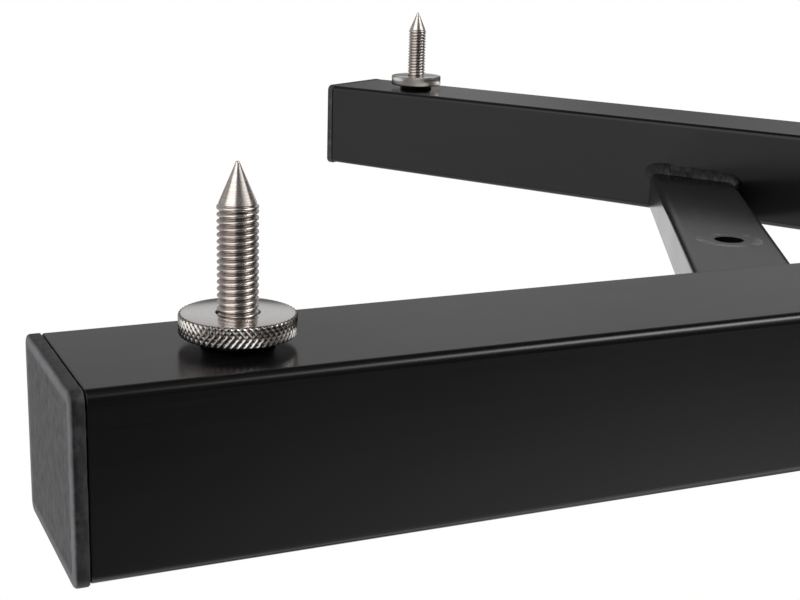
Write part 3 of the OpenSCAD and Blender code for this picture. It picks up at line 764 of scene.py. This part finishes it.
def barWeld(side):  # along the crossbar's spike side and a little way up its edges, on an arm's inner face
    inward = Vector((-side * math.cos(halfAngle), -math.sin(halfAngle), 0))
    start = Vector(onArm(side, 0, -armShape["width"] / 2, 0))
    outline = roundedOutline(*(barShape[k] for k in ("width", "height", "corner")), weldShape["cornerSteps"])
    spikeHalf = outline[len(outline) // 2:]
    path = []
    for (along, up), outward in reversed(spikeHalf):
        y = barPlace.y + along
        x = start.x + (start.y - y) * side * math.tan(halfAngle)
        slide = Vector((0, outward.x, outward.y))
        first = (slide - inward * slide.dot(inward)).normalized()
        path.append(((x, y, barPlace.z + up), first, (-side, 0, 0)))
    makeWeld("crossbarWeldLeft" if side < 0 else "crossbarWeldRight", path, barShape["weld"], "stand_base")


def frameWeld(node, height):  # round an upright square tube, where it meets a plate
    weld = frameWelds[node]
    middle = middleOf(node)
    outline = roundedOutline(weld["width"], weld["width"], weld["corner"], weldShape["cornerSteps"])
    path = [((middle.x + p.x, middle.y + p.y, height), (outward.x, outward.y, 0), (0, 0, weld["way"]))
            for p, outward in outline]
    makeWeld(weld["name"], path, weld["leg"], bodyOf[node], closed=True)


def crotchWeld():  # up the inner corner between the two arms
    y = footPlace.y - armShape["width"] / 2 / math.sin(halfAngle)
    reach = armShape["height"] / 2 - crotchShape["short"]
    ways = [(way * math.sin(halfAngle), -math.cos(halfAngle), 0) for way in (1, -1)]
    path = [((0, y, armMiddle + up), *ways) for up in (-reach, reach)]
    makeWeld("crotchWeld", path, crotchShape["leg"], "stand_base")


for side in (-1, 1):
    barWeld(side)
frameWeld("column_tube", corners("column_tube")[0].z)
frameWeld("sliding_tube", corners("head_flange")[0].z)
crotchWeld()
print("welds laid")


# clamp: a lobed knob moulded on its threaded stud

knobShape = {
    "radius": 24, "lobe": 7, "lobes": 5, "hub": 10, "hubLength": 9, "thickness": 15, "edge": 2.4,  # mm
    "blend": 1.4, "dish": 0.9, "dishRadius": 13, "button": 8.5, "columns": 200, "edgeSteps": 6, "bore": 4.2,
    "hubRows": ((-0.7, 0), (-0.2, 0.2), (0, 0.7)), "filletRows": ((0, -1.6), (0.4, -0.7), (1.5, 0)),
    "dishBreak": (0.4, 0.15), "dishFoot": 1.2, "buttonFoot": 0.5, "buttonBreak": 0.25, "buttonEdge": 0.6,
    "buttonRise": 0.05, "spot": 0.6, "sharp": 50,
}
studShape = {
    "pegRows": ((1.6, 0), (2, 0.3), (2, 1.05), (3.2, 1.1)), "threadStart": 1.5, "threadEnd": 0.2,  # mm
    "depth": 0.6, "hollowShadeDepth": 0.7, "fade": 0.6, "endRadius": 2, "samples": 8, "columns": 48, "sharp": 60,
}
nylon = mouldedPolymer("glassFilledNylon", "#19191a", "#262627", "#4c4c4d",
                       roughness=0.5, grainMm=0.5, scuffs=0.12)
bushPlastic = mouldedPolymer("acetalBush", "#222223", "#2c2c2d", "#444445",
                             roughness=0.42, grainMm=0.3, scuffs=0.08)
rubber = mouldedPolymer("nitrileRubber", "#161616", "#222222", "#333333",
                        roughness=0.74, grainMm=0.4, scuffs=0.2)
brass = turnedMetal("turnedBrass", "#c9a15c", "#a27f42", "#5f4a26", roughness=0.3, lineMm=0.3, relief=0.2)


def starRadius(angle, shrink):  # the lobed outline, with smooth valleys
    shape = knobShape
    rim = shape["radius"] - shape["lobe"]
    pitch = 2 * math.pi / shape["lobes"]
    offset = (angle - math.pi / 2 + pitch / 2) % pitch - pitch / 2
    inside = shape["lobe"] ** 2 - (rim * math.sin(offset)) ** 2
    lobe = rim * math.cos(offset) + math.sqrt(inside) if inside > 0 else 0
    gap = max(shape["blend"] - abs(lobe - rim), 0) / shape["blend"]
    return max(lobe, rim) + gap ** 2 * shape["blend"] / 4 - shrink


def starRing(shrink, height):
    angles = [2 * math.pi * col / knobShape["columns"] for col in range(knobShape["columns"])]
    return [(starRadius(angle, shrink), angle, height) for angle in angles]


def knobRows():  # hub, lobed body with rounded edges, then the dished front with its button
    shape = knobShape
    edge, hub, steps = shape["edge"], shape["hub"], shape["edgeSteps"]
    back, front = shape["hubLength"], shape["hubLength"] + shape["thickness"]
    floor, dish, button = front - shape["dish"], shape["dishRadius"], shape["button"]
    hubProfile = [(shape["bore"], 0)] + [(hub + out, up) for out, up in shape["hubRows"]]
    hubProfile += [(hub + out, back + up) for out, up in shape["filletRows"]]
    angles = [math.pi / 2 * step / steps for step in range(steps + 1)]
    body = [starRing(edge * (1 - math.sin(a)), back + edge * (1 - math.cos(a))) for a in angles]
    body += [starRing(edge * (1 - math.cos(a)), front - edge * (1 - math.sin(a))) for a in angles]
    breakIn, breakDown = shape["dishBreak"]
    frontProfile = [(dish, front), (dish - breakIn, front - breakDown), (dish - shape["dishFoot"], floor),
                    (button + shape["buttonFoot"], floor), (button, floor + shape["buttonBreak"]),
                    (button - shape["buttonEdge"], front - shape["buttonBreak"]),
                    (button / 2, front - shape["buttonRise"]), (shape["spot"], front)]
    flats = [[flatRing(radius, height, shape["columns"]) for radius, height in profile]
             for profile in (hubProfile, frontProfile)]
    return flats[0] + body + flats[1]


def makeKnob():
    stud = middleOf("clamp_stud")
    centre = (stud.x, corners("clamp_knob")[0].y, stud.z)
    verts, faces = ringsToMesh(knobRows(), centre, axis="y")
    return addPiece("lobedKnob", verts, faces, nylon, bodyOf["clamp_knob"],
                    ("clamp_knob",), knobShape["sharp"])


def makeStud():  # peg in the pad, then an M8 thread to inside the knob
    shape = studShape
    low, high = corners("clamp_stud")
    length, columns, fade = high.y - low.y, shape["columns"], shape["fade"]
    rows = [flatRing(radius, height, columns) for radius, height in shape["pegRows"]]
    plain = len(rows)
    rows += rodRows(shape["threadStart"], length - shape["threadEnd"], shape["depth"], shape["samples"],
                    columns, fade, fade)
    rows.append(flatRing(shape["endRadius"], length, columns))
    verts, faces = ringsToMesh(rows, ((low.x + high.x) / 2, low.y, (low.z + high.z) / 2), axis="y")
    # the stud thread's depth share marks where its hollows get painted shade
    pits = [0] * (plain * columns) + pitsOf(rows[plain:], spikeShape["crest"], shape["hollowShadeDepth"])
    return addPiece("clampStud", verts, faces, zinc, bodyOf["clamp_stud"],
                    ("clamp_stud",), shape["sharp"], {"hollowShade": pits})


makeKnob()
makeStud()
print("clamp made")


# flat bars, plates, tubes and fasteners keep their solids, with broken edges

dressed = {  # node: finish, size of the broken edge in mm
    "crossbar": (coatCrossbar, 0), "foot_plate": (coatPlate, 0.5), "head_flange": (coatPlate, 0.5),
    "top_plate": (coatPlate, 0.5), "plate_bolts": (zinc, 0.2), "plate_washers": (zinc, 0.2),
    "rivet_nuts": (zinc, 0), "flange_screws": (zinc, 0.1), "flange_nuts": (zinc, 0.25),
    "clamp_nut": (zinc, 0), "clamp_pad": (brass, 0.15), "guide_bush": (bushPlastic, 0.2),
    "tube_glide": (bushPlastic, 0), "clamp_collar": (nylon, 0.8), "column_tube": (coatUpright, 0),
    "sliding_tube": (coatUpright, 0), "rubber_pad_1": (rubber, 0.3), "rubber_pad_2": (rubber, 0.3),
    "rubber_pad_3": (rubber, 0.3), "rubber_pad_4": (rubber, 0.3),
}
for node, (finish, edgeBreak) in dressed.items():
    dressedCopy(node, finish, edgeBreak)
print("plates and fasteners dressed")


# studio: a pale floor seen from above only, one broad lamp over the stand, and pale and dark cards round it

studio = {
    "floorRadius": 9, "floorDrop": 0.0002, "fadeStart": 0.8, "fadeEnd": 2.5,  # metres
    "floorColour": "#f2f2f1", "floorRoughness": 0.9, "floorSteps": 96,
    "sunStrength": 3.5, "sunAngle": 50, "sunFrom": (-0.5, -1.2, 1.2), "fill": 0.22, "brightest": 10,
}
studioCards = {  # what glossy surfaces see: elevation in degrees, then (azimuth, brightness) round it
    -80: ((0, 0.03), (180, 0.3), (200, 0.8), (250, 0.5), (270, 0.1), (340, 0.05)),
    -64: ((0, 0.03), (95, 0.03), (112, 0.1), (130, 0.15), (138, 0.1), (180, 0.18), (190, 1.2), (246, 1),
          (256, 0.06), (330, 0.06), (345, 0.04)),
    -56: ((0, 0.04), (70, 0.04), (80, 0.6), (92, 1.4), (102, 0.6), (112, 0.25), (138, 0.1), (182, 0.15),
          (188, 1.4), (246, 1.3), (254, 0.1), (335, 0.1), (350, 0.04)),
    -50: ((0, 0.05), (66, 0.05), (76, 2.8), (86, 7.5), (98, 6), (105, 5.2), (108, 4.2), (112, 2.2),
          (120, 1.2), (128, 0.5), (138, 0.1), (182, 0.15), (188, 1.4), (246, 1.4), (254, 0.2), (335, 0.2),
          (350, 0.05)),
    -44: ((0, 0.06), (60, 0.05), (76, 3), (86, 9), (92, 8.5), (98, 7.6), (105, 7.4), (108, 6.8), (112, 3.6),
          (120, 2), (128, 0.95), (136, 0.35), (141, 0.15), (182, 0.15), (188, 1.5), (246, 1.5), (254, 0.28),
          (335, 0.25), (350, 0.08)),
    -39: ((0, 0.1), (64, 0.05), (78, 2), (88, 6.5), (98, 6), (105, 5), (108, 4), (112, 2.2), (120, 1.3),
          (128, 0.7), (136, 0.25), (141, 0.12), (182, 0.15), (188, 1.6), (246, 1.6), (254, 0.28),
          (338, 0.28), (350, 0.15)),
    -35: ((0, 0.2), (64, 0.05), (78, 1), (102, 1.2), (112, 0.8), (120, 0.5), (136, 0.15), (141, 0.1),
          (182, 0.15), (188, 1.6), (246, 1.6), (254, 0.28), (338, 0.28), (350, 0.2)),
    -30: ((0, 0.4), (30, 0.3), (50, 0.06), (76, 0.8), (100, 1), (105, 0.7), (112, 0.45), (120, 0.3),
          (130, 0.15), (138, 0.08), (184, 0.15), (189, 1.5), (248, 1.5), (255, 0.3), (330, 0.3),
          (345, 0.4)),
    -22: ((0, 0.5), (25, 0.45), (40, 0.1), (74, 0.1), (80, 1.4), (98, 1.2), (104, 0.3), (134, 0.12),
          (138, 0.08), (184, 0.12), (190, 1.3), (248, 1.3), (255, 0.3), (330, 0.3), (345, 0.48)),
    -15: ((0, 0.53), (8, 0.52), (22, 0.52), (40, 0.15), (78, 0.05), (84, 0.9), (98, 0.8), (103, 0.12),
          (136, 0.06), (185, 0.1), (191, 1.2), (248, 1.2), (255, 0.35), (325, 0.5), (340, 0.56)),
    -11: ((0, 0.42), (8, 0.42), (22, 0.4), (40, 0.15), (80, 0.05), (86, 0.9), (98, 0.8), (103, 0.1),
          (136, 0.05), (185, 0.1), (191, 1.1), (248, 1.1), (255, 0.35), (325, 0.4), (345, 0.45)),
    -8: ((0, 0.2), (3, 0.09), (6, 0.05), (9, 0.1), (22, 0.35), (40, 0.15), (50, 0.05), (84, 0.05),
         (88, 0.8), (98, 0.7), (103, 0.08), (136, 0.05), (186, 0.08), (192, 1), (225, 0.85), (250, 0.75),
         (256, 0.4), (330, 0.2), (345, 0.03), (352, 0.03), (357, 0.3)),
    -5: ((0, 0.2), (3, 0.09), (6, 0.05), (9, 0.1), (22, 0.5), (40, 0.2), (50, 0.05), (86, 0.05), (90, 0.6),
         (98, 0.5), (103, 0.06), (136, 0.04), (186, 0.08), (192, 1), (225, 0.85), (250, 0.75), (256, 0.4),
         (330, 0.2), (345, 0.03), (352, 0.03), (357, 0.3)),
    6: ((0, 1), (22, 0.9), (40, 0.2), (50, 0.05), (88, 0.05), (94, 0.4), (100, 0.3), (104, 0.06),
        (136, 0.04), (186, 0.08), (192, 1), (225, 0.85), (250, 0.75), (256, 0.4), (335, 0.45), (350, 1)),
    13: ((0, 1.1), (8, 0.8), (22, 1), (40, 0.4), (50, 0.04), (92, 0.05), (98, 0.25), (104, 0.1),
         (120, 0.04), (134, 0.01), (180, 0.02), (190, 0.9), (225, 0.85), (248, 0.75), (256, 0.5),
         (325, 0.5), (345, 1.1)),
    17: ((0, 1), (22, 1), (40, 0.3), (50, 0.03), (88, 0.05), (100, 0.35), (110, 0.25), (116, 0.12),
         (123, 0.05), (130, 0.02), (137, 0.01), (180, 0.02), (200, 0.3), (245, 0.3), (262, 0.6), (335, 0.6),
         (350, 1)),
    20: ((0, 1), (22, 1), (40, 0.3), (50, 0.03), (88, 0.1), (100, 0.8), (110, 0.7), (116, 0.4), (123, 0.25),
         (130, 0.1), (137, 0.03), (145, 0.01), (180, 0.02), (245, 0.04), (262, 0.6), (335, 0.6), (350, 1)),
    23: ((0, 1), (22, 1), (40, 0.3), (50, 0.03), (88, 0.2), (100, 1.2), (110, 1.1), (116, 0.8), (123, 0.55),
         (130, 0.35), (137, 0.17), (145, 0.02), (180, 0.02), (245, 0.04), (262, 0.6), (335, 0.6), (350, 1)),
    30: ((0, 0.9), (30, 0.8), (50, 0.05), (88, 0.2), (100, 1.2), (115, 1), (137, 0.35), (145, 0.03),
         (182, 0.04), (192, 0.6), (245, 0.6), (262, 0.6), (335, 0.6), (350, 0.9)),
    42: ((0, 0.8), (30, 0.8), (50, 0.05), (76, 0.1), (82, 1.8), (100, 1.6), (110, 0.5), (134, 0.3),
         (142, 0.08), (184, 0.08), (192, 1.6), (248, 1.6), (256, 0.4), (335, 0.4), (350, 0.8)),
    75: ((0, 0.9), (180, 1.2)),
}


def makeFloor():
    steps, radius = studio["floorSteps"], studio["floorRadius"]
    angles = [2 * math.pi * i / steps for i in range(steps)]
    data = bpy.data.meshes.new("floor")
    data.from_pydata([(radius * math.cos(a), radius * math.sin(a), -studio["floorDrop"]) for a in angles], [],
                     [tuple(range(steps))])
    made, tree, surface, place = newMaterial("paleFloor", {
        "Base Color": linear(studio["floorColour"]), "Roughness": studio["floorRoughness"]})
    away = addNode(tree, "ShaderNodeVectorMath", {"operation": "LENGTH"}, {0: (place, "Object")})
    fade = {"interpolation_type": "SMOOTHSTEP", "From Min": studio["fadeStart"],
            "From Max": studio["fadeEnd"]}
    faded = addNode(tree, "ShaderNodeMapRange", fade, {"Value": (away, "Value")})
    path = addNode(tree, "ShaderNodeLightPath")
    seen = mathNode(tree, "MAXIMUM", (path, "Is Camera Ray"), (path, "Is Transmission Ray"))
    sweep = addNode(tree, "ShaderNodeEmission", {}, {"Strength": (seen, "Value")})
    mixed = addNode(tree, "ShaderNodeMixShader", {},
                    {0: (faded, "Result"), 1: (surface, "BSDF"), 2: (sweep, "Emission")})
    facing = addNode(tree, "ShaderNodeNewGeometry")
    clear = addNode(tree, "ShaderNodeBsdfTransparent")
    oneSided = addNode(tree, "ShaderNodeMixShader", {},
                       {0: (facing, "Backfacing"), 1: (mixed, "Shader"), 2: (clear, "BSDF")})
    output = next(n for n in tree.nodes if n.type == "OUTPUT_MATERIAL")
    tree.links.new(oneSided.outputs["Shader"], output.inputs["Surface"])
    data.materials.append(made)
    floor = bpy.data.objects.new("floor", data)
    bpy.context.scene.collection.objects.link(floor)
    floor.visible_shadow = False
    floor.visible_glossy = False


def cardBrightness(tree, azimuth, height):  # a ramp round each elevation, faded into the next one up
    seen, below = None, 0
    for elevation, stops in sorted(studioCards.items()):
        ramp = addNode(tree, "ShaderNodeValToRGB", {}, {"Fac": (azimuth, "Value")})
        levels = [(turn / 360, level / studio["brightest"]) for turn, level in stops + ((360, stops[0][1]),)]
        fillRamp(ramp, [(turn, (level, level, level, 1)) for turn, level in levels])
        if seen:
            seen = addNode(tree, "ShaderNodeMapRange",
                           {"From Min": math.radians(below), "From Max": math.radians(elevation)},
                           {"Value": (height, "Value"), "To Min": (seen, 0), "To Max": (ramp, "Color")})
        else:
            seen = ramp
        below = elevation
    return mathNode(tree, "MULTIPLY", (seen, 0), studio["brightest"])


def makeWorld():
    world = bpy.data.worlds.new("studioWorld")
    world.use_nodes = True
    tree = world.node_tree
    tree.nodes.clear()
    path = addNode(tree, "ShaderNodeLightPath")
    place = addNode(tree, "ShaderNodeTexCoord")
    split = addNode(tree, "ShaderNodeSeparateXYZ", {}, {"Vector": (place, "Generated")})
    angle = mathNode(tree, "ARCTAN2", (split, "Y"), (split, "X"))
    turns = mathNode(tree, "MULTIPLY", (angle, "Value"), 1 / (2 * math.pi))
    azimuth = mathNode(tree, "FRACT", (turns, "Value"))
    height = mathNode(tree, "ARCSINE", (split, "Z"))
    cards = cardBrightness(tree, azimuth, height)
    glossy = mathNode(tree, "MULTIPLY", (path, "Is Glossy Ray"), (cards, "Value"))
    white = mathNode(tree, "MAXIMUM", (path, "Is Camera Ray"), (path, "Is Transmission Ray"))
    fill = mathNode(tree, "MULTIPLY", (path, "Is Diffuse Ray"), studio["fill"])
    some = mathNode(tree, "MAXIMUM", (white, "Value"), (glossy, "Value"))
    total = mathNode(tree, "MAXIMUM", (some, "Value"), (fill, "Value"))
    shine = addNode(tree, "ShaderNodeBackground", {"Color": (1, 1, 1, 1)}, {"Strength": (total, "Value")})
    addNode(tree, "ShaderNodeOutputWorld", {}, {"Surface": (shine, "Background")})
    bpy.context.scene.world = world


def makeSun():
    data = bpy.data.lights.new("broadLamp", "SUN")
    data.energy = studio["sunStrength"]
    data.angle = math.radians(studio["sunAngle"])
    lamp = bpy.data.objects.new("broadLamp", data)
    lamp.rotation_euler = Vector(studio["sunFrom"]).to_track_quat("Z", "Y").to_euler()
    lamp.visible_glossy = False
    bpy.context.scene.collection.objects.link(lamp)


makeFloor()
makeWorld()
makeSun()
print("studio lit")

bpy.context.scene.view_settings.view_transform = "Standard"
